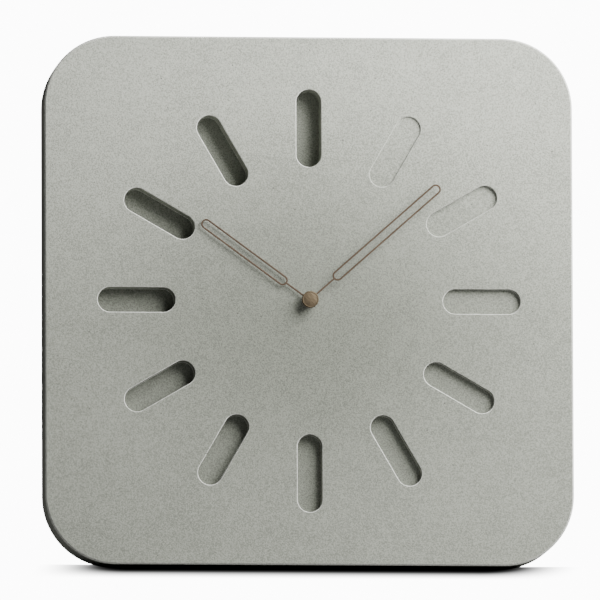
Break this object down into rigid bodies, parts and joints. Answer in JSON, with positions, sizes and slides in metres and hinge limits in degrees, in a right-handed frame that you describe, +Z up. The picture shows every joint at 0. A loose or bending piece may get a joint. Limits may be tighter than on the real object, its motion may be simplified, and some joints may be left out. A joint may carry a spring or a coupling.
{
  "type": "wall clock",
  "caption": "Square cast wall clock with rounded corners, stepped hour recesses, open-work hands and a quartz movement set into the back.",
  "frame": {"origin": "centre of the back face, on the axis of the hands", "axes": "+Z up the dial, -Y out of the dial towards the viewer, +Y into the wall, +X to the viewer's right"},
  "size_m": [0.3, 0.0318, 0.3],
  "materials": {
    "cast_cement": "matte",
    "zinc_steel": "satin",
    "pale_plastic": "satin",
    "brass": "satin",
    "black_plastic": "satin",
    "core_steel": "matte",
    "copper_wire": "gloss",
    "green_board": "satin",
    "black_resin": "gloss",
    "battery_jacket": "gloss",
    "contact_metal": "satin",
    "magnet": "matte",
    "gear_plastic": "satin",
    "red_plastic": "satin",
    "copper_hand": "satin",
    "cap_bronze": "satin"
  },
  "bodies": {
    "clock_body": {"dial_block": "cast_cement", "hanger_plate": "zinc_steel", "hanger_screws": "zinc_steel", "hanger_plugs": "pale_plastic", "movement_inserts": "brass", "movement_screws": "zinc_steel", "movement_case": "black_plastic", "rear_cover": "black_plastic", "train_plate": "pale_plastic", "rear_plate": "pale_plastic", "stator": "core_steel", "coil_core": "core_steel", "coil_bobbin": "pale_plastic", "coil_winding": "copper_wire", "circuit_board": "green_board", "chip_cover": "black_resin", "quartz_crystal": "zinc_steel", "battery": "battery_jacket", "positive_terminal": "contact_metal", "negative_terminal": "contact_metal"},
    "minute_works": {"minute_hand": "copper_hand", "minute_collet": "brass", "hand_cap": "cap_bronze", "minute_pinion": "brass", "clutch_washer": "brass"},
    "hour_works": {"hour_hand": "copper_hand", "hour_collet": "brass", "hour_wheel": "gear_plastic"},
    "motion_works": {"motion_wheel": "gear_plastic"},
    "setting_works": {"setting_shaft": "gear_plastic", "setting_knob": "red_plastic"},
    "centre_train": {"centre_wheel": "gear_plastic"},
    "third_train": {"third_wheel": "gear_plastic"},
    "seconds_train": {"seconds_wheel": "gear_plastic"},
    "intermediate_train": {"intermediate_wheel": "gear_plastic"},
    "rotor": {"rotor_magnet": "magnet", "rotor_pinion": "gear_plastic"}
  },
  "joints": [
    {"name": "minute_turn", "type": "hinge", "parent": "clock_body", "child": "minute_works", "pos_m": [0, 0, 0], "axis": [0, 1, 0], "continuous": true},
    {"name": "hour_turn", "type": "hinge", "parent": "clock_body", "child": "hour_works", "pos_m": [0, 0, 0], "axis": [0, 1, 0], "continuous": true},
    {"name": "motion_wheel_turn", "type": "hinge", "parent": "clock_body", "child": "motion_works", "pos_m": [-0.01056, 0, 0], "axis": [0, 1, 0], "continuous": true},
    {"name": "setting_turn", "type": "hinge", "parent": "clock_body", "child": "setting_works", "pos_m": [-0.01584, 0, 0.00915], "axis": [0, 1, 0], "continuous": true},
    {"name": "centre_wheel_turn", "type": "hinge", "parent": "clock_body", "child": "centre_train", "pos_m": [0, 0, 0], "axis": [0, 1, 0], "continuous": true},
    {"name": "third_wheel_turn", "type": "hinge", "parent": "clock_body", "child": "third_train", "pos_m": [0.01054, 0, 0], "axis": [0, 1, 0], "continuous": true},
    {"name": "seconds_wheel_turn", "type": "hinge", "parent": "clock_body", "child": "seconds_train", "pos_m": [0, 0, 0], "axis": [0, 1, 0], "continuous": true},
    {"name": "intermediate_wheel_turn", "type": "hinge", "parent": "clock_body", "child": "intermediate_train", "pos_m": [-0.00327, 0, 0.00641], "axis": [0, 1, 0], "continuous": true},
    {"name": "rotor_turn", "type": "hinge", "parent": "clock_body", "child": "rotor", "pos_m": [0, 0, 0.0126], "axis": [0, 1, 0], "continuous": true}
  ],
  "couplings": [
    {"joint": "hour_turn", "follows": "minute_turn", "ratio": 0.083333},
    {"joint": "motion_wheel_turn", "follows": "minute_turn", "ratio": -0.33333},
    {"joint": "setting_turn", "follows": "minute_turn", "ratio": 1},
    {"joint": "centre_wheel_turn", "follows": "minute_turn", "ratio": 1},
    {"joint": "third_wheel_turn", "follows": "minute_turn", "ratio": -8},
    {"joint": "seconds_wheel_turn", "follows": "minute_turn", "ratio": 60},
    {"joint": "intermediate_wheel_turn", "follows": "minute_turn", "ratio": -300},
    {"joint": "rotor_turn", "follows": "minute_turn", "ratio": 1800}
  ]
}
